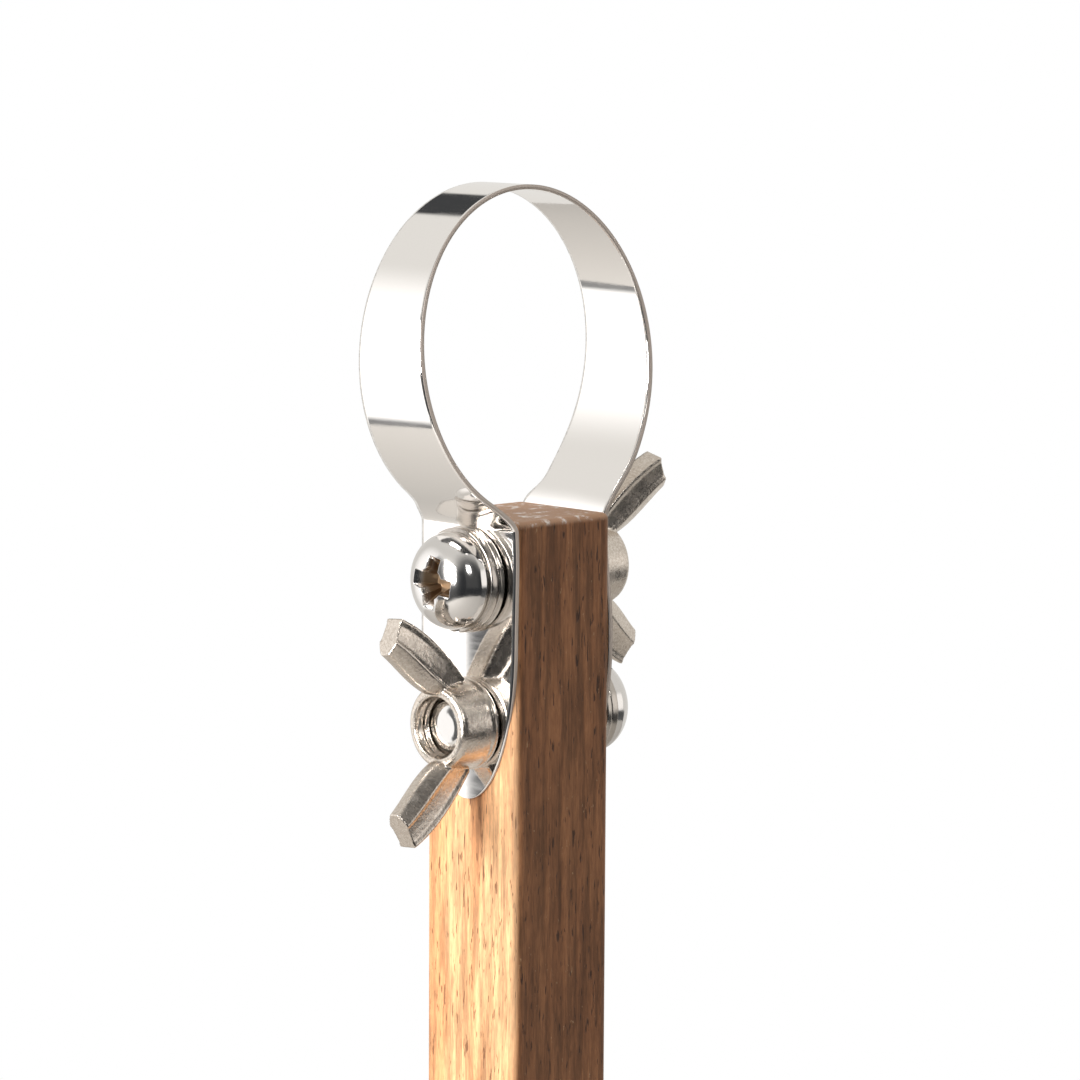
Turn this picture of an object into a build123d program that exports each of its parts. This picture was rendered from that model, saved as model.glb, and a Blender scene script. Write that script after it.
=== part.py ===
from build123d import *
import os
from math import cos, radians, sin

# Clay modelling tool with a changeable steel loop. Millimetres, +Z up.
# The origin is the centre of the handle's bottom end. X runs from tab to tab, Y across the strip.
os.makedirs("parts", exist_ok=True)

# ---- handle ----
handle_side = 14.0
handle_length = 180.0
handle_edge_round = 1.2
handle_end_round = 0.7

# ---- strip: one piece, bent into a loop between two flat tabs ----
strip_thickness = 0.5
loop_centre_x = -1.7
loop_centre_rise = 16.9
loop_half_width = 16.3
loop_half_height = 17.5
left_neck_angle = 237.0
right_neck_angle = 340.0
neck_start_drop = 1.0
left_neck_pull = 1.3
right_neck_pull = 1.45
tab_neck_pull = 0.6
top_near_y = -2.5
top_far_y = 4.5
shoulder_near_y = -6.1
shoulder_near_rise = 6.5
neck_far_y = 5.1
neck_far_rise = 3.0
tab_width = 14.0
left_tab_top_near_y = -7.0
right_tab_top_near_y = -5.9
tab_top_drop = 0.8
tab_straight_drop = 13.0
tab_end_drop = 29.8

# ---- screws, washers and nuts ----
upper_screw_drop = 6.4
lower_screw_drop = 21.7
screw_y = -0.35
screw_diameter = 6.0
screw_length = 20.0
screw_end_chamfer = 0.7
head_diameter = 10.2
head_height = 3.8
head_side_height = 1.1
cross_width = 1.5
cross_span = 6.2
cross_depth = 2.4
cross_tip_span = 2.4
cross_tip_width = 1.0
cross_turn = -10.0
spring_washer_diameter = 11.0
spring_washer_thickness = 1.0
spring_washer_gap = 0.7
flat_washer_diameter = 11.2
flat_washer_thickness = 0.8
washer_edge_round = 0.2
washer_bore_clearance = 0.2
hole_clearance = 0.15
thread_clearance = 0.05

# ---- wing nut ----
hub_base_diameter = 9.8
hub_top_diameter = 7.8
hub_height = 4.6
hub_flange_height = 0.7
bore_chamfer = 0.35
wing_reach = 12.0
wing_height = 11.2
wing_tip_inner_reach = 8.3
wing_tip_outer_rise = 9.4
wing_underside_rise = 1.2
wing_thickness = 3.0
left_nut_turn = 5.0
right_nut_turn = -14.0

half_side = handle_side / 2
tab_outer_x = half_side + strip_thickness
strip_middle_x = half_side + strip_thickness / 2
loop_centre_z = handle_length + loop_centre_rise
loop_top_z = loop_centre_z + loop_half_height + strip_thickness
hole_diameter = screw_diameter + 2 * hole_clearance
upper_z = handle_length - upper_screw_drop
lower_z = handle_length - lower_screw_drop
washer_stack = flat_washer_thickness + spring_washer_thickness

with BuildPart() as handle:
    with BuildSketch(Plane.XY):
        Rectangle(handle_side, handle_side)
    extrude(amount=handle_length)
    fillet(handle.edges().filter_by(Axis.Z), radius=handle_edge_round)
    fillet(handle.faces().sort_by(Axis.Z)[-1].edges(), radius=handle_end_round)
    fillet(handle.faces().sort_by(Axis.Z)[0].edges(), radius=handle_end_round)
    with BuildSketch(Plane.YZ):
        with Locations((screw_y, upper_z), (screw_y, lower_z)):
            Circle(hole_diameter / 2)
    extrude(amount=half_side, both=True, mode=Mode.SUBTRACT)


def loop_point(degrees):
    """A point of the strip's middle line on the loop."""
    turn = radians(degrees)
    return (loop_centre_x + loop_half_width * cos(turn), loop_centre_z + loop_half_height * sin(turn))


def loop_heading(degrees):
    """The direction of the middle line at that point, anticlockwise."""
    turn = radians(degrees)
    return (-loop_half_width * sin(turn), loop_half_height * cos(turn))


# The strip's front outline, carried through each side on its own: the two tabs differ at their tops.
with BuildPart() as outline:
    for side, tab_top_near_y in ((-1, left_tab_top_near_y), (1, right_tab_top_near_y)):
        with BuildSketch(Plane.YZ.offset(loop_centre_x)):
            with BuildLine():
                half_tab = tab_width / 2
                tab_top_z = handle_length - tab_top_drop
                straight_z = handle_length - tab_straight_drop
                near_shoulder = (shoulder_near_y, handle_length + shoulder_near_rise)
                far_neck = (neck_far_y, handle_length + neck_far_rise)
                near_top = (-half_tab, straight_z)
                Polyline(near_shoulder, (top_near_y, loop_top_z), (top_far_y, loop_top_z), far_neck)
                Spline(far_neck, (half_tab, tab_top_z), tangents=[(0.05, -1), (0, -1)])
                Line((half_tab, tab_top_z), (half_tab, straight_z))
                EllipticalCenterArc((0, straight_z), half_tab, tab_end_drop - tab_straight_drop,
                                    start_angle=180, arc_size=180)
                Spline(near_top, (tab_top_near_y, tab_top_z), near_shoulder,
                       tangents=[(0, 1), (0.13, 1)])
            make_face()
        extrude(amount=side * 3 * loop_half_width)

# The bent strip is its side view, carried through Y and kept where its front outline lies.
with BuildPart() as loop_blade:
    with BuildSketch(Plane.XZ):
        with BuildLine():
            neck_z = handle_length - neck_start_drop
            tab_end_z = handle_length - tab_end_drop
            EllipticalCenterArc((loop_centre_x, loop_centre_z), loop_half_width, loop_half_height,
                                start_angle=right_neck_angle,
                                arc_size=left_neck_angle - right_neck_angle + 360)
            Spline(loop_point(left_neck_angle), (-strip_middle_x, neck_z),
                   tangents=[loop_heading(left_neck_angle), (0, -1)],
                   tangent_scalars=[left_neck_pull, tab_neck_pull])
            Line((-strip_middle_x, neck_z), (-strip_middle_x, tab_end_z))
            Spline((strip_middle_x, neck_z), loop_point(right_neck_angle),
                   tangents=[(0, 1), loop_heading(right_neck_angle)],
                   tangent_scalars=[tab_neck_pull, right_neck_pull])
            Line((strip_middle_x, tab_end_z), (strip_middle_x, neck_z))
        trace(line_width=strip_thickness)
    extrude(amount=handle_side, both=True)
    add(outline.part, mode=Mode.INTERSECT)
    with BuildSketch(Plane.YZ):
        with Locations((screw_y, upper_z), (screw_y, lower_z)):
            Circle(hole_diameter / 2)
    extrude(amount=3 * half_side, both=True, mode=Mode.SUBTRACT)


def outward_plane(side, height, turn=0.0):
    """A plane on a tab's outer face, at a screw's height: its Z points away from the handle."""
    up = Vector(0, sin(radians(turn)), cos(radians(turn)))
    return Plane(origin=(side * tab_outer_x, screw_y, height), x_dir=up, z_dir=(side, 0, 0))


def make_screw(side, height):
    """A cross-recessed pan head screw that lies through the handle from one tab to the other."""
    seat = outward_plane(side, height).offset(washer_stack)
    head_radius = head_diameter / 2
    with BuildPart() as screw:
        with BuildSketch(seat):
            Circle(screw_diameter / 2)
        extrude(amount=-screw_length)
        chamfer(screw.edges().filter_by(GeomType.CIRCLE).group_by(Axis.X)[0 if side > 0 else -1],
                length=screw_end_chamfer)
        side_view = Plane(origin=seat.origin, x_dir=seat.x_dir, z_dir=seat.y_dir * -1)
        with BuildSketch(side_view):
            with BuildLine():
                rim = (head_radius, head_side_height)
                Line((0, 0), (head_radius, 0))
                Line((head_radius, 0), rim)
                Spline(rim, (0, head_height), tangents=[(-0.25, 1), (-1, 0)])
                Line((0, head_height), (0, 0))
            make_face()
        revolve(axis=Axis(seat.origin, seat.z_dir))
        for depth, span, width in ((0, cross_span, cross_width),
                                   (cross_depth, cross_tip_span, cross_tip_width)):
            with BuildSketch(seat.offset(head_height - depth)):
                Rectangle(span, width, rotation=cross_turn)
                Rectangle(width, span, rotation=cross_turn)
        loft(mode=Mode.SUBTRACT)
    return screw.part


def make_flat_washer(side, height):
    """The flat washer that lies on the tab, under a screw head."""
    with BuildPart() as washer:
        with BuildSketch(outward_plane(side, height)):
            Circle(flat_washer_diameter / 2)
            Circle(screw_diameter / 2 + washer_bore_clearance, mode=Mode.SUBTRACT)
        extrude(amount=flat_washer_thickness)
        fillet(washer.edges().filter_by(GeomType.CIRCLE), radius=washer_edge_round)
    return washer.part


def make_spring_washer(side, height):
    """The split lock washer, pressed flat between the flat washer and the head."""
    with BuildPart() as washer:
        with BuildSketch(outward_plane(side, height).offset(flat_washer_thickness)):
            Circle(spring_washer_diameter / 2)
            Circle(screw_diameter / 2 + washer_bore_clearance, mode=Mode.SUBTRACT)
            with Locations((-spring_washer_diameter / 2, 0)):
                Rectangle(spring_washer_diameter, spring_washer_gap, mode=Mode.SUBTRACT)
        extrude(amount=spring_washer_thickness)
    return washer.part


def make_wing_nut(side, height, turn):
    """A wing nut of the cold-formed kind: a tapered hub with two flared wings."""
    seat = outward_plane(side, height, turn)
    base_radius = hub_base_diameter / 2
    top_radius = hub_top_diameter / 2
    bore_radius = screw_diameter / 2 + thread_clearance
    wing_plane = Plane(origin=seat.origin, x_dir=seat.x_dir, z_dir=seat.y_dir * -1)
    with BuildPart() as nut:
        with BuildSketch(wing_plane):
            with BuildLine():
                Polyline((0, 0), (base_radius, 0), (base_radius, hub_flange_height),
                         (top_radius, hub_height), (0, hub_height), close=True)
            make_face()
        revolve(axis=Axis(seat.origin, seat.z_dir))
        for way in (1, -1):
            with BuildSketch(wing_plane):
                with BuildLine():
                    root_low = (way * top_radius * 0.8, wing_underside_rise)
                    root_high = (way * top_radius * 0.8, hub_height)
                    tip_low = (way * wing_reach, wing_tip_outer_rise)
                    tip_high = (way * wing_tip_inner_reach, wing_height)
                    hub_low = (way * base_radius, wing_underside_rise)
                    Line(root_low, hub_low)
                    Spline(hub_low, tip_low, tangents=[(way * 1, 0.75), (way * 0.45, 1)])
                    Line(tip_low, tip_high)
                    Spline(tip_high, root_high, tangents=[(-way * 0.8, -1), (-way * 0.35, -1)])
                    Line(root_high, root_low)
                make_face()
            extrude(amount=wing_thickness / 2, both=True)
        with BuildSketch(wing_plane):
            with BuildLine():
                Polyline((0, 0), (bore_radius + bore_chamfer, 0), (bore_radius, bore_chamfer),
                         (bore_radius, hub_height - bore_chamfer),
                         (bore_radius + bore_chamfer, hub_height), (0, hub_height), close=True)
            make_face()
        revolve(axis=Axis(seat.origin, seat.z_dir), mode=Mode.SUBTRACT)
    return nut.part


pieces = {"handle": handle.part, "loop_blade": loop_blade.part}
for level, height, head_side, nut_turn in (("upper", upper_z, -1, right_nut_turn),
                                           ("lower", lower_z, 1, left_nut_turn)):
    pieces[level + "_screw"] = make_screw(head_side, height)
    pieces[level + "_flat_washer"] = make_flat_washer(head_side, height)
    pieces[level + "_spring_washer"] = make_spring_washer(head_side, height)
    pieces[level + "_wing_nut"] = make_wing_nut(-head_side, height, nut_turn)

for label, piece in pieces.items():
    piece.label = label
    export_step(piece, f"parts/{label}.step")
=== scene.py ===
"""A clay modelling tool: a teak handle, a bent steel loop, and two M6 screws with washers and wing nuts.

Sizes here are millimetres, and are turned into metres where a mesh is made.
"""

import math

import bpy
import numpy as np
from bpy.props import FloatProperty, FloatVectorProperty, IntProperty, PointerProperty
from mathutils import Matrix, Vector


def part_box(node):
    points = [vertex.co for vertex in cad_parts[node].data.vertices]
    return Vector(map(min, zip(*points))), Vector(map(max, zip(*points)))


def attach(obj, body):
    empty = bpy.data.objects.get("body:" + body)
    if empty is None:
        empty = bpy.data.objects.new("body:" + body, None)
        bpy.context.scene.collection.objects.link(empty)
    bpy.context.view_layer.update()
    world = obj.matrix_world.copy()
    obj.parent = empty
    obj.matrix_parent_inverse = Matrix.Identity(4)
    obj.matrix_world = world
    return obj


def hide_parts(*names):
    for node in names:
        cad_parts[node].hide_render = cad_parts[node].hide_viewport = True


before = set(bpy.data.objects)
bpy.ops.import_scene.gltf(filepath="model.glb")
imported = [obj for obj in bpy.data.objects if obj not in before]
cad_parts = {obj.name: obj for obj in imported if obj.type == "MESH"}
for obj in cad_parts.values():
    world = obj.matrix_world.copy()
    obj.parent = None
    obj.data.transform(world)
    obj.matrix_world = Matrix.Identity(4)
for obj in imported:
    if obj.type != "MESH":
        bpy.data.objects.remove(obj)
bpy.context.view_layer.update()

bl_info = {
    "name": "Clay Loop Tool",
    "version": (1, 0, 0),
    "blender": (4, 5, 0),
    "location": "3D View > Sidebar > Clay Tool",
    "description": "Builds a clay modelling tool round its packed CAD frame",
    "category": "Add Mesh",
}


def box_mm(name):
    """A CAD node's lowest and highest corners, in millimetres, to a ten-thousandth."""
    return np.round(np.array([list(corner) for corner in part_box(name)], float) * 1000, 4)


def middle_mm(name):
    """The middle of a CAD node's box, in millimetres, to a hundredth, as its round edges are faceted."""
    return np.round(box_mm(name).mean(0), 2)


# ---- places read from the frame ----
HANDLE_TOP = box_mm("handle")[1, 2]
HALF_TAB = box_mm("handle")[1, 1]
SCREW_Y, UPPER_Z = middle_mm("upper_flat_washer")[1:]
LOWER_Z = middle_mm("lower_flat_washer")[2]

# ---- the strip: its side view as X and Z, and its front view as Y and Z ----
STRIP_THICKNESS = 0.5
TAB_FACE = HALF_TAB + STRIP_THICKNESS
TAB_MIDDLE = HALF_TAB + STRIP_THICKNESS / 2
LOOP_CENTRE = (-1.7, HANDLE_TOP + 16.9)
LOOP_HALF = (16.3, 17.5)
LOOP_TOP = LOOP_CENTRE[1] + LOOP_HALF[1] + STRIP_THICKNESS
LEFT_NECK_ANGLE = 237.0
RIGHT_NECK_ANGLE = 340.0
LEFT_NECK_PULLS = (1.3, 0.6)
RIGHT_NECK_PULLS = (0.6, 1.45)
NECK_Z = HANDLE_TOP - 1.0
TAB_TOP_Z = HANDLE_TOP - 0.8
TAB_STRAIGHT_Z = HANDLE_TOP - 13.0
TAB_END_Z = HANDLE_TOP - 29.8
TAB_TOP_NEAR_Y = {-1: -7.0, 1: -5.9}
TAB_END_HALF_WIDTH = 0.05
SHOULDER = (-6.1, HANDLE_TOP + 6.5)
FAR_NECK = (5.1, HANDLE_TOP + 3.0)
TOP_NEAR_Y = -2.5
TOP_FAR_Y = 4.5
HOLE_RADIUS = 3.15
HOLE_CELL_MARGIN = 0.08
LEAN = 0.052
LEAN_START = 1.0
LEAN_EASE = 1.5
LEAN_TOP = HANDLE_TOP + 4.0

# ---- screws and washers: radius, and height outwards from the tab or from under the head ----
SCREW_LENGTH = 20.0
SHANK_RADIUS = 2.96
SHANK_END_CHAMFER = 0.7
THREAD_PITCH = 1.0
SCREW_THREAD_DEPTH = 0.5
HEAD_RADIUS = 5.1
HEAD_SIDE = 1.1
HEAD_HEIGHT = 3.8
CROSS_TURN = -10.0
CROSS_DEPTH = 2.4
CROSS_HALF_SPAN = 3.1
CROSS_HALF_WIDTH = 0.92
CROSS_TIP_SPAN = 1.2
CROSS_TIP_WIDTH = 0.5
CROSS_BOWL = 1.75
CROSS_BOWL_TIP = 0.9
WASHER_BORE = 3.2
FLAT_WASHER_RADIUS = 5.6
FLAT_WASHER = 0.8
SPRING_WASHER_RADIUS = 5.5
SPRING_WASHER = 1.0
SPRING_HALF_GAP = 0.085
WASHER_STACK = FLAT_WASHER + SPRING_WASHER

# ---- wing nut: radius, and height outwards from the tab ----
HUB_FOOT = 4.88
HUB_TOP = 4.59
BORE_RADIUS = 3.02
NUT_THREAD_DEPTH = 0.34
WING_ROOT = 3.55
WING_LOW = ((4.9, 1.25), (11.97, 9.4))
WING_LOW_HEADINGS = ((1, 0.75), (0.45, 1))
WING_HIGH = ((8.3, 11.17), (3.3, 4.6))
WING_HIGH_HEADINGS = ((-0.8, -1), (-0.35, -1))
WING_TIP_THINNING = 0.08

# Each level's name, height, the side its screw head is on (-1 is -X) and how far its nut is turned.
LEVELS = (("upper", UPPER_Z, -1, -14.0), ("lower", LOWER_Z, 1, 5.0))


def linear(hex_code):
    """A linear colour with alpha, from an sRGB hex code."""
    srgb = np.array([int(hex_code[k : k + 2], 16) for k in (0, 2, 4)]) / 255
    low = srgb / 12.92
    high = ((srgb + 0.055) / 1.055) ** 2.4
    return (*np.where(srgb <= 0.04045, low, high).tolist(), 1.0)


class ClayToolLooks(bpy.types.PropertyGroup):
    """Sizes and colours of the tool's looks."""

    wood: FloatVectorProperty(
        name="Teak",
        description="Colour of the teak's darker sides",
        size=4,
        subtype="COLOR",
        default=linear("8E6141"),
    )
    # Pale teak is painted light: a paler copy of the teak for its lit -X side.
    lit_side_teak: FloatVectorProperty(
        name="Pale teak",
        description="Colour of the teak's paler, sanded side",
        size=4,
        subtype="COLOR",
        default=linear("D6A476"),
    )
    strip: FloatVectorProperty(
        name="Strip steel",
        description="Colour of the polished stainless strip",
        size=4,
        subtype="COLOR",
        default=linear("F8F5F2"),
    )
    casting: FloatVectorProperty(
        name="Cast nut",
        description="Colour of the plated casting of the wing nuts",
        size=4,
        subtype="COLOR",
        default=linear("E2D9CE"),
    )
    nut_grain: FloatProperty(
        name="Nut mesh size",
        description="Cell size of the wing nuts' joined surface",
        default=0.00012,
        min=0.00008,
        unit="LENGTH",
    )
    nut_soften: IntProperty(
        name="Nut softening",
        description="How many times the casting's corners are softened",
        default=1,
        min=0,
        max=12,
    )
    floor_radius: FloatProperty(
        name="Floor radius",
        description="Radius of the round floor that the tool stands on",
        default=0.325,
        min=0.1,
        unit="LENGTH",
    )


# ---- curves, grids and places ----
def cubic(start, end, leave, arrive, count):
    """Points on a cubic curve: the Hermite form, with end points start and end and end speeds leave and
    arrive, at count even steps of its parameter.
    """
    t = np.linspace(0, 1, count)[:, None]
    start, end, leave, arrive = (np.array(v, float) for v in (start, end, leave, arrive))
    return (
        (2 * t**3 - 3 * t**2 + 1) * start
        + (t**3 - 2 * t**2 + t) * leave
        + (3 * t**2 - 2 * t**3) * end
        + (t**3 - t**2) * arrive
    )


def drawn_cubic(ends, headings, count):
    """The cubic between two ends whose end speeds are both as strong as the step between them."""
    step = np.abs(np.subtract(ends[1], ends[0])).sum()
    strong = [np.array(v) * step / np.abs(v).sum() for v in headings]
    return cubic(*ends, *strong, count)


def pulled_cubic(ends, headings, pulls, count):
    """The cubic between two ends whose end speeds are the chord's length times each end's pull."""
    chord = np.linalg.norm(np.subtract(ends[1], ends[0]))
    strong = [np.array(v) / np.linalg.norm(v) * chord * pull for v, pull in zip(headings, pulls)]
    return cubic(*ends, *strong, count)


def loop_point(degrees):
    """A point of the loop's ellipse: centre + half sizes times the cosine and sine of the angle."""
    turn = np.radians(degrees)
    across = LOOP_CENTRE[0] + LOOP_HALF[0] * np.cos(turn)
    return np.stack([across, LOOP_CENTRE[1] + LOOP_HALF[1] * np.sin(turn)], -1)


def loop_heading(degrees):
    """The ellipse's direction there, anticlockwise: the derivative of loop_point."""
    turn = np.radians(degrees)
    return np.stack([-LOOP_HALF[0] * np.sin(turn), LOOP_HALF[1] * np.cos(turn)], -1)


def grid_faces(rows, columns, wrap_rows, wrap_columns):
    """Quads between neighbouring rows and columns of a grid whose vertices are numbered row by row."""
    r = np.arange(rows if wrap_rows else rows - 1)[:, None]
    c = np.arange(columns if wrap_columns else columns - 1)[None, :]
    r2 = (r + 1) % rows
    c2 = (c + 1) % columns
    corners = (r * columns + c, r * columns + c2, r2 * columns + c2, r2 * columns + c)
    return np.stack([np.broadcast_to(k, (r.size, c.size)).ravel() for k in corners], 1)


def spun(profile, angles):
    """A profile of radius and height turned round its axis: (radius cos, radius sin, height), with rows
    along the profile and columns round it.
    """
    radius, rise = profile[:, 0, None], profile[:, 1, None]
    return np.stack(np.broadcast_arrays(radius * np.cos(angles), radius * np.sin(angles), rise), -1)


def placed(points, side, height, turn=0.0):
    """Points given as up, across and outward of a tab's face at a screw, put into the row's frame:
    origin + up part * up + across part * across + outward part * outward.
    """
    lean = math.radians(turn)
    up = np.array([0, math.sin(lean), math.cos(lean)])
    outward = np.array([side, 0.0, 0.0])
    origin = np.array([side * TAB_FACE, SCREW_Y, height])
    return origin + points @ np.stack([up, np.cross(outward, up), outward])


def outward_faces(points, faces):
    """The faces, turned over if the closed surface they make encloses a negative volume."""
    triangles = np.array([(f[0], f[i], f[i + 1]) for f in faces for i in range(1, len(f) - 1)])
    a, b, c = points[triangles].transpose(1, 0, 2)
    volume = np.einsum("ij,ij->i", a, np.cross(b, c)).sum()
    return faces if volume > 0 else [f[::-1] for f in faces]


def make_piece(name, points, faces, body, cad_node, materials):
    """One mesh object in metres that rides on a body in place of its CAD node."""
    mesh = bpy.data.meshes.new(name)
    mesh.from_pydata((np.asarray(points).reshape(-1, 3) / 1000).tolist(), [], [list(f) for f in faces])
    mesh.validate()
    mesh.update()
    mesh.shade_smooth()
    piece = bpy.data.objects.new(name, mesh)
    bpy.context.scene.collection.objects.link(piece)
    for finish in materials:
        mesh.materials.append(finish)
    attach(piece, body)
    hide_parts(cad_node)
    return piece


# ---- materials ----
SOFT = {"interpolation_type": "SMOOTHSTEP"}
COLOUR = {"data_type": "RGBA"}
MULTIPLY = {"operation": "MULTIPLY"}
EVEN = (1, 1, 1)


def node(tree, kind, sockets, out=0, **settings):
    """Adds one node with its settings and links, and returns one of its outputs."""
    made = tree.nodes.new("ShaderNode" + kind)
    for key, value in settings.items():
        setattr(made, key, value)
    for key, value in sockets.items():
        if isinstance(value, bpy.types.NodeSocket):
            tree.links.new(value, made.inputs[key])
        else:
            made.inputs[key].default_value = value
    return made.outputs[out] if made.outputs else None


def new_material(name):
    """A material and its emptied node tree."""
    finish = bpy.data.materials.new(name)
    finish.use_nodes = True
    finish.node_tree.nodes.clear()
    return finish, finish.node_tree


def grain(tree, size, stretch, detail, roughness):
    """A random pattern whose features are size millimetres across, stretched along X, Y and Z."""
    place = node(tree, "TexCoord", {}, "Object")
    place = node(tree, "Mapping", {"Vector": place, "Scale": [1 / s for s in stretch]})
    sockets = {"Vector": place, "Scale": 1000 / size, "Detail": detail, "Roughness": roughness}
    return node(tree, "TexNoise", sockets, "Fac")


def teak(looks):
    """Teak, sanded and oiled: a warm, uneven brown without gloss, with long fibre streaks, dark pore
    dashes, pale rubbed corners and scuffed end grain.
    """
    finish, tree = new_material("teak_sanded_oiled")
    # Teak's pores are about 0.3 mm wide, its fibre streaks 0.3 to 0.9 mm, and its growth bands 3 mm.
    place = node(tree, "TexCoord", {}, "Object")
    x, y, z = (
        node(tree, "Math", {0: node(tree, "SeparateXYZ", {0: place}, axis), 1: 1000.0}, **MULTIPLY)
        for axis in "XYZ"
    )
    band = grain(tree, 3.4, (1, 1, 9), 3.0, 0.55)
    streak = grain(tree, 0.85, (1, 1, 15), 4.0, 0.68)
    fibre = grain(tree, 0.26, (1, 1, 8), 3.0, 0.7)
    pores = grain(tree, 0.3, (1, 1, 7), 2.0, 0.5)
    flecks = grain(tree, 0.45, (1, 1, 3), 3.0, 0.7)
    scuffs = grain(tree, 1.3, EVEN, 4.0, 0.7)
    # The -X side is painted paler than the others, as painted light where the key lamp falls, and each
    # has redder bands about 3 mm wide, with a paler lit copy of them on that side.
    pale = node(tree, "MapRange", {0: x, 1: -6.0, 2: -6.9}, **SOFT)
    base = node(tree, "Mix", {0: pale, 6: tuple(looks.wood), 7: tuple(looks.lit_side_teak)}, 2, **COLOUR)
    red = node(tree, "MapRange", {0: band, 1: 0.38, 2: 0.64, 4: 0.55}, **SOFT)
    redder = node(tree, "Mix", {0: pale, 6: linear("70482E"), 7: linear("BE7848")}, 2, **COLOUR)
    base = node(tree, "Mix", {0: red, 6: base, 7: redder}, 2, **COLOUR)
    # Streaks and fibres shade it along the grain.
    tone = node(tree, "MapRange", {0: streak, 1: 0.3, 2: 0.7, 3: 0.58, 4: 1.34}, **SOFT)
    fine = node(tree, "MapRange", {0: fibre, 1: 0.3, 2: 0.7, 3: 0.8, 4: 1.16}, **SOFT)
    shade = node(tree, "Math", {0: tone, 1: fine}, **MULTIPLY)
    shade = node(tree, "CombineColor", {0: shade, 1: shade, 2: shade})
    base = node(tree, "Mix", {0: 1.0, 6: base, 7: shade}, 2, blend_type="MULTIPLY", **COLOUR)
    # Open pores are dark dashes, painted paler on the -X side as painted light, and small flecks are
    # pale.
    pore = node(tree, "MapRange", {0: pores, 1: 0.64, 2: 0.7, 4: 0.8}, **SOFT)
    dashes = node(tree, "Mix", {0: pale, 6: linear("342118"), 7: linear("70462A")}, 2, **COLOUR)
    base = node(tree, "Mix", {0: pore, 6: base, 7: dashes}, 2, **COLOUR)
    fleck = node(tree, "MapRange", {0: flecks, 1: 0.66, 2: 0.74, 4: 0.4}, **SOFT)
    base = node(tree, "Mix", {0: fleck, 6: base, 7: linear("D6B28A")}, 2, **COLOUR)
    # The top's end grain is scuffed almost white, and the long corners are rubbed pale.
    end = node(tree, "MapRange", {0: z, 1: HANDLE_TOP - 0.8, 2: HANDLE_TOP - 0.2}, **SOFT)
    scuff = node(tree, "MapRange", {0: scuffs, 1: 0.52, 2: 0.68}, **SOFT)
    scuffed = node(tree, "Mix", {0: scuff, 6: linear("B68E70"), 7: linear("ECE4DE")}, 2, **COLOUR)
    base = node(tree, "Mix", {0: end, 6: base, 7: scuffed}, 2, **COLOUR)
    reach = [node(tree, "Math", {0: part}, operation="ABSOLUTE") for part in (x, y)]
    corner = node(tree, "Math", {0: reach[0], 1: reach[1]}, operation="ADD")
    worn = node(tree, "MapRange", {0: corner, 1: 13.15, 2: 13.35, 4: 0.4}, **SOFT)
    base = node(tree, "Mix", {0: worn, 6: base, 7: linear("C4A07E")}, 2, **COLOUR)
    relief = node(tree, "Math", {0: streak, 1: pore}, operation="SUBTRACT")
    bumps = node(tree, "Bump", {"Height": relief, "Strength": 1.0, "Distance": 0.00008})
    sockets = {"Base Color": base, "Roughness": 0.55, "Specular IOR Level": 0.3, "Normal": bumps}
    node(tree, "OutputMaterial", {"Surface": node(tree, "BsdfPrincipled", sockets)})
    return finish


def metal(name, colour, roughness, size, stretch, depth):
    """A metal whose pattern of size millimetres varies its roughness between two values, and makes its
    surface depth millimetres uneven.
    """
    finish, tree = new_material(name)
    pattern = grain(tree, size, stretch, 4.0, 0.6)
    uneven = {0: pattern, 1: 0.3, 2: 0.7, 3: roughness[0], 4: roughness[1]}
    gloss = node(tree, "MapRange", uneven, **SOFT)
    bumps = node(tree, "Bump", {"Height": pattern, "Strength": 1.0, "Distance": depth / 1000})
    sockets = {"Base Color": tuple(colour), "Metallic": 1.0, "Roughness": gloss, "Normal": bumps}
    node(tree, "OutputMaterial", {"Surface": node(tree, "BsdfPrincipled", sockets)})
    return finish


def polished_strip(looks):
    """Stainless spring strip, bright-rolled: a mirror with rubbing marks across it that blur it a little.
    The marks are drawn 0.5 mm apart, coarser than real ones, so that they show.
    """
    return metal("stainless_strip_polished", looks.strip, (0.04, 0.1), 0.5, (1, 9, 1), 0.001)


def strip_edge(_looks):
    """Stainless strip's edge, sheared and ground: a thin line, duller and browner than the faces, with
    0.3 mm grinding marks.
    """
    finish, tree = new_material("stainless_strip_ground_edge")
    pattern = grain(tree, 0.3, EVEN, 3.0, 0.55)
    bumps = node(tree, "Bump", {"Height": pattern, "Strength": 1.0, "Distance": 0.00001})
    sockets = {"Base Color": linear("C4B8AE"), "Metallic": 0.5, "Roughness": 0.45, "Normal": bumps}
    node(tree, "OutputMaterial", {"Surface": node(tree, "BsdfPrincipled", sockets)})
    return finish


def screw_steel(_looks):
    """Steel, cold-headed and nickel-plated: a bright dome that ripples barely, over 0.9 mm, and a recess
    that is duller, and painted dark brown as painted shade.
    """
    finish, tree = new_material("steel_screw_nickel_plated")
    depth = node(tree, "Attribute", {}, "Fac", attribute_name="recess")
    # The recess is painted dark brown as painted shade, and its roughness rises there.
    painted_recess_shade = node(tree, "MapRange", {0: depth, 1: 0.04, 2: 0.5}, **SOFT)
    colour = node(tree, "Mix", {0: painted_recess_shade, 6: linear("DEDBD8"), 7: linear("806C56")}, 2, **COLOUR)
    gloss = node(tree, "MapRange", {0: painted_recess_shade, 3: 0.12, 4: 0.42}, **SOFT)
    pattern = grain(tree, 0.9, EVEN, 3.0, 0.55)
    bumps = node(tree, "Bump", {"Height": pattern, "Strength": 1.0, "Distance": 0.000008})
    sockets = {"Base Color": colour, "Metallic": 1.0, "Roughness": gloss, "Normal": bumps}
    node(tree, "OutputMaterial", {"Surface": node(tree, "BsdfPrincipled", sockets)})
    return finish


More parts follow.
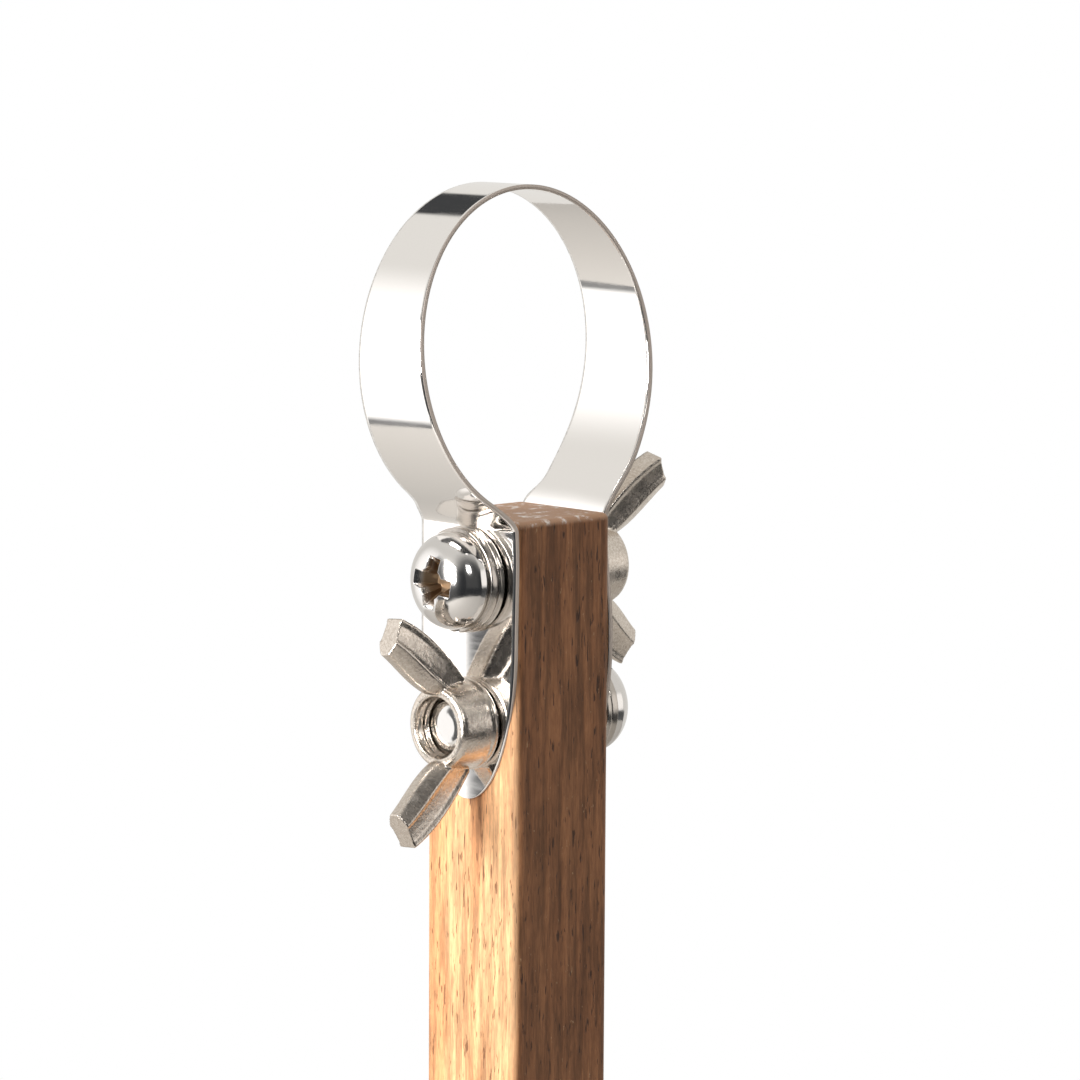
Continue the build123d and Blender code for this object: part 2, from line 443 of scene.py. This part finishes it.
def washer_steel(_looks):
    """Spring steel, stamped and plated: a little softer than the screws, and darker as painted shade. Its
    0.6 mm marks are drawn coarser than real ones, so that they show.
    """
    return metal("steel_washer_plated", linear("BAB3AB"), (0.14, 0.26), 0.6, EVEN, 0.012)


def cast_nut(looks):
    """Zinc, die-cast and nickel-plated: a warm grey skin with pits of 0.3 mm, and a gloss that ripples
    over 1.6 mm.
    """
    finish, tree = new_material("zinc_die_casting_nickel_plated")
    fine = grain(tree, 0.28, EVEN, 4.0, 0.7)
    broad = grain(tree, 1.6, EVEN, 3.0, 0.6)
    tint = node(tree, "MapRange", {0: fine, 1: 0.3, 2: 0.7}, **SOFT)
    colour = node(tree, "Mix", {0: tint, 6: linear("C4B8AC"), 7: tuple(looks.casting)}, 2, **COLOUR)
    gloss = node(tree, "MapRange", {0: broad, 1: 0.35, 2: 0.65, 3: 0.17, 4: 0.3}, **SOFT)
    pits = node(tree, "Math", {0: fine, 1: 0.5}, **MULTIPLY)
    relief = node(tree, "Math", {0: pits, 1: broad}, operation="ADD")
    bumps = node(tree, "Bump", {"Height": relief, "Strength": 1.0, "Distance": 0.000045})
    sockets = {"Base Color": colour, "Metallic": 1.0, "Roughness": gloss, "Normal": bumps}
    node(tree, "OutputMaterial", {"Surface": node(tree, "BsdfPrincipled", sockets)})
    return finish


def floor_paint(_looks):
    """Matt paint on a board: a pale, even ground without gloss."""
    finish, tree = new_material("board_matt_paint")
    sockets = {"Base Color": linear("BEBBB7"), "Roughness": 0.9}
    node(tree, "OutputMaterial", {"Surface": node(tree, "BsdfPrincipled", sockets)})
    return finish


MATERIALS = {
    "teak": teak,
    "strip": polished_strip,
    "edge": strip_edge,
    "screw": screw_steel,
    "washer": washer_steel,
    "nut": cast_nut,
    "floor": floor_paint,
}
made_materials = {}


def material(key):
    """The named material, made once."""
    if key not in made_materials:
        made_materials[key] = MATERIALS[key](bpy.context.scene.clay_tool_looks)
    return made_materials[key]


# ---- surfaces ----
def strip_line():
    """The strip's middle line as X and Z: up the left tab, round the loop and down the right tab."""
    bend = np.linspace(LEFT_NECK_ANGLE, RIGHT_NECK_ANGLE - 360, 260)
    tongue = TAB_STRAIGHT_Z - (TAB_STRAIGHT_Z - TAB_END_Z) * np.cos(np.linspace(0, math.pi / 2, 40))
    straight = np.linspace(TAB_STRAIGHT_Z, NECK_Z, 34)[1:]
    rise = np.concatenate([tongue, straight])
    left_tab = np.stack([np.full_like(rise, -TAB_MIDDLE), rise], 1)
    right_tab = np.stack([np.full_like(rise, TAB_MIDDLE), rise], 1)[::-1]
    left_ends = (loop_point(LEFT_NECK_ANGLE), left_tab[-1])
    left_headings = (loop_heading(LEFT_NECK_ANGLE), (0, -1))
    left_neck = pulled_cubic(left_ends, left_headings, LEFT_NECK_PULLS, 30)[::-1]
    right_ends = (right_tab[0], loop_point(RIGHT_NECK_ANGLE))
    right_headings = ((0, 1), loop_heading(RIGHT_NECK_ANGLE))
    right_neck = pulled_cubic(right_ends, right_headings, RIGHT_NECK_PULLS, 56)[::-1]
    parts = [left_tab, left_neck[1:], loop_point(bend)[1:], right_neck[1:], right_tab[1:]]
    return np.concatenate(parts)


def near_edge(side):
    """The near edge above the tab's straight part, as Y and Z: two cubics through the tab's top with one
    bend in common there, then a straight line to the loop's top.
    """
    knots = np.array([(-HALF_TAB, TAB_STRAIGHT_Z), (TAB_TOP_NEAR_Y[side], TAB_TOP_Z), SHOULDER])
    spans = np.linalg.norm(np.diff(knots, axis=0), axis=1)
    first, last = np.array([0, 1.0]), np.array([0.13, 1.0])
    pull = 3 * ((knots[1] - knots[0]) / spans[0] ** 2 + (knots[2] - knots[1]) / spans[1] ** 2)
    middle = (pull - first / spans[0] - last / spans[1]) / (2 / spans[0] + 2 / spans[1])
    low = cubic(knots[0], knots[1], first * spans[0], middle * spans[0], 40)
    high = cubic(knots[1], knots[2], middle * spans[1], last * spans[1], 40)
    return np.concatenate([low, high[1:], [(TOP_NEAR_Y, LOOP_TOP)]])


def strip_width(line):
    """The near and far edges' Y at every point of the strip's middle line: half an ellipse at a tab's
    end, and the edges' outlines read at the point's height above it.
    """
    x, z = line.T
    drop = np.clip((TAB_STRAIGHT_Z - z) / (TAB_STRAIGHT_Z - TAB_END_Z), 0, 1)
    tongue = HALF_TAB * np.sqrt(1 - drop**2)
    left, right = (np.interp(z, edge[:, 1], edge[:, 0]) for edge in (near_edge(-1), near_edge(1)))
    near = np.where(x < LOOP_CENTRE[0], left, right)
    neck = drawn_cubic((FAR_NECK, (HALF_TAB, TAB_TOP_Z)), ((0.05, -1), (0, -1)), 30)[::-1]
    outline = np.concatenate([neck, [(TOP_FAR_Y, LOOP_TOP)]])
    far = np.interp(z, outline[:, 1], outline[:, 0])
    low = z < TAB_STRAIGHT_Z
    return np.where(low, -tongue, near), np.where(low, tongue, far)


def strip_surface(columns):
    """The strip's middle surface: point = (line x, near + (far - near) * v, line z), with v from 0 to 1
    across it. Cells inside a screw hole are left out, and the corners left inside it move out to its rim.
    The tabs' near margins lean in towards the wood by lean * u * u / (u + ease), where u = start - y,
    fading out up the neck.
    """
    line = strip_line()
    near, far = strip_width(line)
    near[[0, -1]], far[[0, -1]] = -TAB_END_HALF_WIDTH, TAB_END_HALF_WIDTH
    v = np.linspace(0, 1, columns)[None, :]
    y = near[:, None] + (far - near)[:, None] * v
    points = np.stack([np.repeat(line[:, :1], columns, 1), y, np.repeat(line[:, 1:], columns, 1)], -1)
    faces = grid_faces(len(line), columns, False, False)
    flat = points.reshape(-1, 3)
    tab = np.abs(np.abs(flat[:, 0]) - TAB_MIDDLE) < 1e-6
    u = np.clip(LEAN_START - flat[:, 1], 0, None)
    leant = LEAN * u**2 / (u + LEAN_EASE)
    leant *= np.clip((LEAN_TOP - flat[:, 2]) / (LEAN_TOP - NECK_Z), 0, 1)
    flat[:, 0] -= np.sign(flat[:, 0]) * leant
    for height in (UPPER_Z, LOWER_Z):
        away = flat[:, 1:] - (SCREW_Y, height)
        reach = np.linalg.norm(away, axis=1)
        centre = np.linalg.norm(flat[faces].mean(1)[:, 1:] - (SCREW_Y, height), axis=1)
        faces = faces[~((centre < HOLE_RADIUS - HOLE_CELL_MARGIN) & tab[faces[:, 0]])]
        inside = tab & (reach < HOLE_RADIUS) & (reach > 0.01)
        flat[inside, 1:] = (SCREW_Y, height) + away[inside] / reach[inside, None] * HOLE_RADIUS
    used = np.zeros(len(flat), bool)
    used[faces] = True
    renumber = np.cumsum(used) - 1
    return flat[used], renumber[faces]


def thread_groove(angles, rise, depth):
    """A ridge that climbs one pitch a turn: depth * |2 * frac(rise / pitch - angle / turn) - 1|."""
    phase = (rise / THREAD_PITCH - angles / (2 * math.pi)) % 1.0
    return depth * np.abs(2 * phase - 1)


def cross_recess(points):
    """How deep the cross recess is at each point across the head: the deepest of a tapered bowl and two
    tapered slots at right angles, each falling evenly from its rim to the recess's floor.
    """
    lean = math.radians(-CROSS_TURN)
    x = points[..., 0] * math.cos(lean) - points[..., 1] * math.sin(lean)
    y = points[..., 0] * math.sin(lean) + points[..., 1] * math.cos(lean)
    bowl = (CROSS_BOWL - np.hypot(x, y)) / (CROSS_BOWL - CROSS_BOWL_TIP)
    deepest = np.clip(bowl, 0, 1) * CROSS_DEPTH
    for long, short in ((x, y), (y, x)):
        ends = (CROSS_HALF_SPAN - np.abs(long)) / (CROSS_HALF_SPAN - CROSS_TIP_SPAN)
        walls = (CROSS_HALF_WIDTH - np.abs(short)) / (CROSS_HALF_WIDTH - CROSS_TIP_WIDTH)
        deepest = np.maximum(deepest, np.clip(np.minimum(ends, walls), 0, 1) * CROSS_DEPTH)
    return deepest


def screw_surface(columns=288):
    """A pan head and shank turned from a profile of radius and height, with the head's top lowered to
    the cross recess and the shank's radius lessened by the thread. Returns the grid and how deep in the
    recess each of its points is, from 0 to 1.
    """
    angles = np.linspace(0, 2 * math.pi, columns, endpoint=False)
    dome = drawn_cubic(((HEAD_RADIUS, HEAD_SIDE), (0, HEAD_HEIGHT)), ((-0.25, 1), (-1, 0)), 300)
    recess_reach = np.linspace(0.0, 3.3, 74)
    shoulder_reach = np.linspace(3.4, 4.7, 14)
    rim_reach = np.linspace(4.76, 5.09, 9)
    reach = np.concatenate([recess_reach, shoulder_reach, rim_reach])
    rise = np.interp(reach, dome[::-1, 0], dome[::-1, 1])
    side = [(HEAD_RADIUS, 1.0), (HEAD_RADIUS, 0.5), (HEAD_RADIUS, 0.15)]
    under = [(5.06, 0.04), (4.95, 0.0), (4.0, 0.0), (2.95, 0.0)]
    head = np.concatenate([np.stack([reach, rise], 1), side, under])
    shank_rise = -np.arange(0.3, SCREW_LENGTH - SHANK_END_CHAMFER, 0.2)
    shank = np.stack([np.full_like(shank_rise, SHANK_RADIUS), shank_rise], 1)
    chamfer = [(2.9, SHANK_END_CHAMFER - SCREW_LENGTH), (2.3, -SCREW_LENGTH)]
    tail = chamfer + [(1.2, -SCREW_LENGTH), (0.0, -SCREW_LENGTH)]
    grid = spun(np.concatenate([head, shank, tail]), angles)
    top = grid[: len(reach), :, 2]
    sunk = cross_recess(grid[: len(reach)])
    lowered = np.where(sunk > 0, np.minimum(top, HEAD_HEIGHT - sunk), top)
    deep = np.zeros(grid.shape[:2])
    deep[: len(reach)] = (top - lowered) / CROSS_DEPTH
    grid[: len(reach), :, 2] = lowered
    less = thread_groove(angles[None, :], shank_rise[:, None], SCREW_THREAD_DEPTH)
    grid[len(head) : len(head) + len(shank), :, :2] *= (1 - less / SHANK_RADIUS)[..., None]
    return grid, deep


def fan_grid(grid):
    """Points and faces of a grid that wraps round and whose first and last rows are single points."""
    rows, columns = grid.shape[:2]
    points = np.concatenate([grid[0, :1], grid[1:-1].reshape(-1, 3), grid[-1, :1]])
    quads = grid_faces(rows - 2, columns, False, True) + 1
    around = np.arange(columns)
    after = (around + 1) % columns
    last = len(points) - 1
    start = last - columns
    first_ring = np.stack([np.zeros(columns, int), after + 1, around + 1], 1)
    last_ring = np.stack([np.full(columns, last), start + around, start + after], 1)
    return points, quads.tolist() + first_ring.tolist() + last_ring.tolist()


def ring_surface(profile, columns, half_gap=0.0):
    """A closed profile turned round the axis as spun says, all the way, or with a gap on both sides of
    half a turn, whose ends are flat.
    """
    whole = half_gap == 0
    start, end = (0.0, 2 * math.pi) if whole else (half_gap - math.pi, math.pi - half_gap)
    grid = spun(np.asarray(profile, float), np.linspace(start, end, columns, endpoint=not whole))
    faces = grid_faces(len(profile), columns, True, whole).tolist()
    if not whole:
        first = np.arange(len(profile)) * columns
        faces += [first.tolist(), (first[::-1] + columns - 1).tolist()]
    return grid.reshape(-1, 3), faces


def rounded_section(inner, outer, low, high, corner):
    """A washer's section: a rectangle of radius and height whose corners are quarter circles."""
    quarter = np.linspace(0, math.pi / 2, 5)
    corners = (
        (outer - corner, high - corner, 0),
        (inner + corner, high - corner, 1),
        (inner + corner, low + corner, 2),
        (outer - corner, low + corner, 3),
    )
    parts = []
    for radius, rise, quarters in corners:
        angles = quarter + quarters * math.pi / 2
        parts.append(np.stack([radius + corner * np.cos(angles), rise + corner * np.sin(angles)], 1))
    return np.concatenate(parts)


def nut_hub():
    """The hub's section turned round: a foot, a slight cone and a rounded top, and a bore whose radius
    grows by the thread's groove.
    """
    foot = [(3.45, 0.0), (4.7, 0.0), (HUB_FOOT, 0.12), (HUB_FOOT, 0.62), (4.74, 0.8)]
    t = np.linspace(0.1, 1, 12)
    cone = np.stack([4.74 - 0.34 * t, 0.8 + 3.2 * t], 1)
    rounding = [(4.33, 4.25), (4.2, 4.44), (4.0, 4.55)]
    top = [(3.8, HUB_TOP), (3.3, HUB_TOP)]
    bore_rise = np.arange(4.25, 0.34, -0.1)
    bore = np.stack([np.full_like(bore_rise, BORE_RADIUS), bore_rise], 1)
    outside = np.concatenate([foot, cone, rounding, top])
    profile = np.concatenate([outside, bore])
    angles = np.linspace(0, 2 * math.pi, 120, endpoint=False)
    grid = spun(profile, angles)
    cut = thread_groove(angles[None, :], bore_rise[:, None], NUT_THREAD_DEPTH)
    grid[len(outside) :, :, :2] *= (1 + cut / BORE_RADIUS)[..., None]
    return grid.reshape(-1, 3), grid_faces(len(profile), len(angles), True, True).tolist()


def nut_wing(way, rows=40):
    """One wing: point = high + (low - high) * v, at a half thickness that depends on v, where high and
    low run along its two edges. The section is a hexagon, thickest at a ridge a third of the way from the
    inner edge, with a slightly sunk panel between the ridge and the outer edge.
    """
    low = drawn_cubic(WING_LOW, WING_LOW_HEADINGS, rows)
    high = drawn_cubic(WING_HIGH, WING_HIGH_HEADINGS, rows)[::-1]
    low = np.concatenate([[(WING_ROOT, 1.3)], low])
    high = np.concatenate([[(WING_ROOT, 3.9)], high])
    high[:, 0] = np.maximum(high[:, 0], WING_ROOT)
    v = np.array([0, 0.03, 0.16, 0.32, 0.36, 0.44, 0.62, 0.82, 0.94, 0.98, 1.0])
    half = np.array([0.5, 0.76, 1.12, 1.48, 1.5, 1.33, 1.22, 1.16, 1.3, 1.28, 1.02])
    v = np.concatenate([v, v[::-1]])
    thick = np.concatenate([half, -half[::-1]])
    slim = 1.0 - WING_TIP_THINNING * np.linspace(0, 1, rows + 1)[:, None]
    plane = high[:, None] + (low - high)[:, None] * v[None, :, None]
    grid = np.stack([plane[..., 0] * way, thick[None, :] * slim, plane[..., 1]], -1)
    count = grid.shape[1]
    last = grid.shape[0] * count - count
    faces = grid_faces(*grid.shape[:2], False, True).tolist()
    faces += [list(range(count)), list(range(last, last + count))[::-1]]
    return grid.reshape(-1, 3), faces


# ---- operators ----
class FinishHandle(bpy.types.Operator):
    """Gives the CAD handle its teak"""

    bl_idname = "clay_tool.finish_handle"
    bl_label = "Finish Handle"

    def execute(self, context):
        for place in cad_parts["handle"].material_slots:
            place.link = "OBJECT"
            place.material = material("teak")
        return {"FINISHED"}


class BuildStrip(bpy.types.Operator):
    """Builds the bent steel strip"""

    bl_idname = "clay_tool.build_strip"
    bl_label = "Build Strip"

    def execute(self, context):
        points, faces = strip_surface(29)
        finishes = [material("strip"), material("edge")]
        name = "strip_surface"
        quads = faces.tolist()
        piece = make_piece(name, points, quads, "tool_body", "loop_blade", finishes)
        solid = piece.modifiers.new("thickness", "SOLIDIFY")
        solid.thickness = STRIP_THICKNESS / 1000
        solid.offset = 0
        solid.use_even_offset = True
        solid.material_offset_rim = 1
        return {"FINISHED"}


class BuildScrews(bpy.types.Operator):
    """Builds both cross-recessed screws"""

    bl_idname = "clay_tool.build_screws"
    bl_label = "Build Screws"

    def execute(self, context):
        for level, height, side, _turn in LEVELS:
            grid, deep = screw_surface()
            grid[..., 2] += WASHER_STACK
            points, faces = fan_grid(grid)
            points = placed(points, side, height)
            faces = outward_faces(points, faces)
            node_name = level + "_screw"
            name = node_name + "_surface"
            piece = make_piece(
                name, points, faces, node_name, node_name, [material("screw")]
            )
            recess = piece.data.attributes.new("recess", "FLOAT", "POINT")
            values = np.concatenate([deep[0, :1], deep[1:-1].ravel(), deep[-1, :1]])
            recess.data.foreach_set("value", values.astype(np.float32))
        return {"FINISHED"}


class BuildWashers(bpy.types.Operator):
    """Builds the flat and spring washers"""

    bl_idname = "clay_tool.build_washers"
    bl_label = "Build Washers"

    def execute(self, context):
        flat = rounded_section(WASHER_BORE, FLAT_WASHER_RADIUS, 0.0, FLAT_WASHER, 0.2)
        low, high = FLAT_WASHER + 0.005, WASHER_STACK - 0.005
        spring = rounded_section(WASHER_BORE, SPRING_WASHER_RADIUS, low, high, 0.14)
        shapes = {
            "flat_washer": ring_surface(flat, 160),
            "spring_washer": ring_surface(spring, 160, SPRING_HALF_GAP),
        }
        for level, height, side, _turn in LEVELS:
            for kind, (points, faces) in shapes.items():
                points = placed(points, side, height)
                faces = outward_faces(points, faces)
                body, node_name = level + "_washers", f"{level}_{kind}"
                name = node_name + "_surface"
                finishes = [material("washer")]
                make_piece(name, points, faces, body, node_name, finishes)
        return {"FINISHED"}


class BuildNuts(bpy.types.Operator):
    """Builds both wing nuts"""

    bl_idname = "clay_tool.build_nuts"
    bl_label = "Build Wing Nuts"

    def execute(self, context):
        looks = context.scene.clay_tool_looks
        for level, height, side, turn in LEVELS:
            points, faces, count = [], [], 0
            for shape, shape_faces in (nut_hub(), nut_wing(1), nut_wing(-1)):
                shape = placed(shape, -side, height, turn)
                faces += [[k + count for k in face] for face in outward_faces(shape, shape_faces)]
                points.append(shape)
                count += len(shape)
            points = np.concatenate(points)
            name, body, cad_node = level + "_nut_surface", level + "_nut", level + "_wing_nut"
            piece = make_piece(name, points, faces, body, cad_node, [material("nut")])
            join = piece.modifiers.new("join", "REMESH")
            join.mode = "VOXEL"
            join.voxel_size = looks.nut_grain
            join.use_smooth_shade = True
            soften = piece.modifiers.new("soften", "SMOOTH")
            soften.factor = 0.5
            soften.iterations = looks.nut_soften
        return {"FINISHED"}


# ---- stage ----
# Each light's colour and strength, where a strength of 1 is white.
ROOM = ("E7E5E1", 1.0)
SOFTBOX = ("FFFEFD", 1.4)
WINDOW = ("FFFCF9", 1.25)
DARK = ("303235", 1.0)
WHITE = ("FFFFFF", 1.0)
# Dark areas of the room: where they lie, the degrees within which they are full and gone, and how dark.
DARK_SPOTS = (
    ((-0.40, -0.90, 0.02), 34, 74, 0.94),
    ((0.45, -0.89, 0.0), 12, 32, 0.85),
    ((0.34, 0.72, 0.60), 9, 12, 0.97),
)


def direction_spot(tree, ray, towards, inner, outer):
    """1 where the ray is within inner degrees of a direction, falling to 0 at outer degrees."""
    unit = np.array(towards, float) / np.linalg.norm(towards)
    facing = node(tree, "VectorMath", {0: ray, 1: unit.tolist()}, "Value", operation="DOT_PRODUCT")
    far, near = (math.cos(math.radians(angle)) for angle in (outer, inner))
    return node(tree, "MapRange", {0: facing, 1: far, 2: near}, **SOFT)


def meeting(tree, part, level, edges, other, other_edges):
    """Up to level where the ray's part is past the first edges and its other part past the others."""
    first = node(tree, "MapRange", {0: part, 1: edges[0], 2: edges[1], 4: level}, **SOFT)
    second = node(tree, "MapRange", {0: other, 1: other_edges[0], 2: other_edges[1]}, **SOFT)
    return node(tree, "Math", {0: first, 1: second}, **MULTIPLY)


def glow(tree, light):
    """A background of a light's colour and strength."""
    return node(tree, "Background", {"Color": linear(light[0]), "Strength": light[1]})


def make_world():
    """White for the camera, and a room for the light and the reflections: bright at the back left, with
    dark areas that the polished metal shows.
    """
    world = bpy.data.worlds.new("studio")
    bpy.context.scene.world = world
    world.use_nodes = True
    tree = world.node_tree
    tree.nodes.clear()
    ray = node(tree, "TexCoord", {}, "Generated")
    side, ahead, rise = (node(tree, "SeparateXYZ", {0: ray}, axis) for axis in "XYZ")
    layers = [(direction_spot(tree, ray, (-0.66, 0.74, -0.1), 12, 44), SOFTBOX)]
    for towards, inner, outer, depth in DARK_SPOTS:
        spot = direction_spot(tree, ray, towards, inner, outer)
        layers.append((node(tree, "Math", {0: spot, 1: depth}, **MULTIPLY), DARK))
    layers.append((direction_spot(tree, ray, (0.66, -0.74, 0.1), 11, 19), WINDOW))
    # A dark skirting low at the front, a thin dark line just past the floor's edge, and a dark wall.
    layers.append((meeting(tree, rise, 0.9, (-0.14, -0.24), ahead, (-0.1, -0.4)), DARK))
    line = meeting(tree, rise, 1.0, (-0.60, -0.53), rise, (-0.465, -0.50))
    line_side = node(tree, "MapRange", {0: side, 1: -0.1, 2: -0.25, 4: 0.8}, **SOFT)
    layers.append((node(tree, "Math", {0: line, 1: line_side}, **MULTIPLY), DARK))
    wall_height = meeting(tree, rise, 1.0, (-0.5, -0.42), rise, (0.5, 0.25))
    wall = node(tree, "MapRange", {0: side, 1: -0.705, 2: -0.735, 4: 0.93}, **SOFT)
    layers.append((node(tree, "Math", {0: wall, 1: wall_height}, **MULTIPLY), DARK))
    room = glow(tree, ROOM)
    for factor, light in layers:
        room = node(tree, "MixShader", {0: factor, 1: room, 2: glow(tree, light)})
    seen = node(tree, "LightPath", {}, "Is Camera Ray")
    both = node(tree, "MixShader", {0: seen, 1: room, 2: glow(tree, WHITE)})
    node(tree, "OutputWorld", {"Surface": both})


def make_floor(radius):
    """A round floor just under the tool: (radius cos, radius sin, a hair below 0)."""
    angles = np.linspace(0, 2 * math.pi, 96, endpoint=False)
    rim = np.stack([np.cos(angles), np.sin(angles), np.zeros_like(angles)], 1) * radius
    rim[:, 2] = -0.0002
    mesh = bpy.data.meshes.new("floor")
    mesh.from_pydata(rim.tolist(), [], [list(range(len(angles)))])
    mesh.update()
    mesh.materials.append(material("floor"))
    floor = bpy.data.objects.new("floor", mesh)
    bpy.context.scene.collection.objects.link(floor)


def make_lamp(name, place, target, size, watts):
    """A square area lamp in metres that faces a target."""
    data = bpy.data.lights.new(name, "AREA")
    data.size = size
    data.energy = watts
    lamp = bpy.data.objects.new(name, data)
    bpy.context.scene.collection.objects.link(lamp)
    away = np.subtract(place, target)
    lamp.location = place
    lamp.rotation_euler = Vector(away.tolist()).to_track_quat("Z", "Y").to_euler()


def make_camera():
    """The camera, 0.45 m from the middle of the handle's top. It is turned about Z by its azimuth and
    raised by its elevation, and then tilted, panned and rolled about its own axes.
    """
    azimuth, elevation, distance = math.radians(-43.393), math.radians(7.068), 0.45
    tilt, pan, roll = (math.radians(angle) for angle in (0.378, 0.284, -0.288))
    back = np.array([math.sin(azimuth), -math.cos(azimuth), math.tan(elevation)]) * math.cos(elevation)
    right = np.cross(-back, (0, 0, 1))
    right /= np.linalg.norm(right)
    looking = Matrix([right.tolist(), np.cross(right, -back).tolist(), back.tolist()])
    own = Matrix.Rotation(roll, 3, "Z") @ Matrix.Rotation(pan, 3, "Y") @ Matrix.Rotation(tilt, 3, "X")
    data = bpy.data.cameras.new("camera")
    data.lens = 141.99
    data.sensor_width = 36
    data.clip_start = 0.01
    data.clip_end = 20
    camera = bpy.data.objects.new("camera", data)
    bpy.context.scene.collection.objects.link(camera)
    place = Vector((back * distance + (0, 0, HANDLE_TOP / 1000)).tolist())
    camera.matrix_world = Matrix.Translation(place) @ (own @ looking).transposed().to_4x4()
    bpy.context.scene.camera = camera


class BuildStage(bpy.types.Operator):
    """Builds the floor, the world, the lamps and the camera"""

    bl_idname = "clay_tool.build_stage"
    bl_label = "Build Stage"

    def execute(self, context):
        make_floor(context.scene.clay_tool_looks.floor_radius)
        make_world()
        make_lamp("key", (-0.78, 0.1, 0.32), (0, 0, 0.16), 0.35, 11.0)
        make_lamp("window", (-0.36, -0.6, 0.56), (0, 0, 0.17), 0.2, 1.2)
        make_camera()
        context.scene.view_settings.view_transform = "Standard"
        return {"FINISHED"}


STEPS = (FinishHandle, BuildStrip, BuildScrews, BuildWashers, BuildNuts, BuildStage)


class ClayToolPanel(bpy.types.Panel):
    """The tool's sidebar panel"""

    bl_idname = "VIEW3D_PT_clay_tool"
    bl_label = "Clay Loop Tool"
    bl_space_type = "VIEW_3D"
    bl_region_type = "UI"
    bl_category = "Clay Tool"

    def draw(self, context):
        looks = context.scene.clay_tool_looks
        for key in looks.bl_rna.properties.keys():
            if key not in ("rna_type", "name"):
                self.layout.prop(looks, key)
        for step in STEPS:
            self.layout.operator(step.bl_idname)


CLASSES = (ClayToolLooks, *STEPS, ClayToolPanel)


def register():
    """Adds the add-on's classes and its settings."""
    for cls in CLASSES:
        bpy.utils.register_class(cls)
    bpy.types.Scene.clay_tool_looks = PointerProperty(type=ClayToolLooks)


def unregister():
    """Takes them away again."""
    del bpy.types.Scene.clay_tool_looks
    for cls in reversed(CLASSES):
        bpy.utils.unregister_class(cls)


def main():
    """Builds everything in order."""
    register()
    for step in STEPS:
        group, name = step.bl_idname.split(".")
        getattr(getattr(bpy.ops, group), name)()


if __name__ == "__main__":
    main()
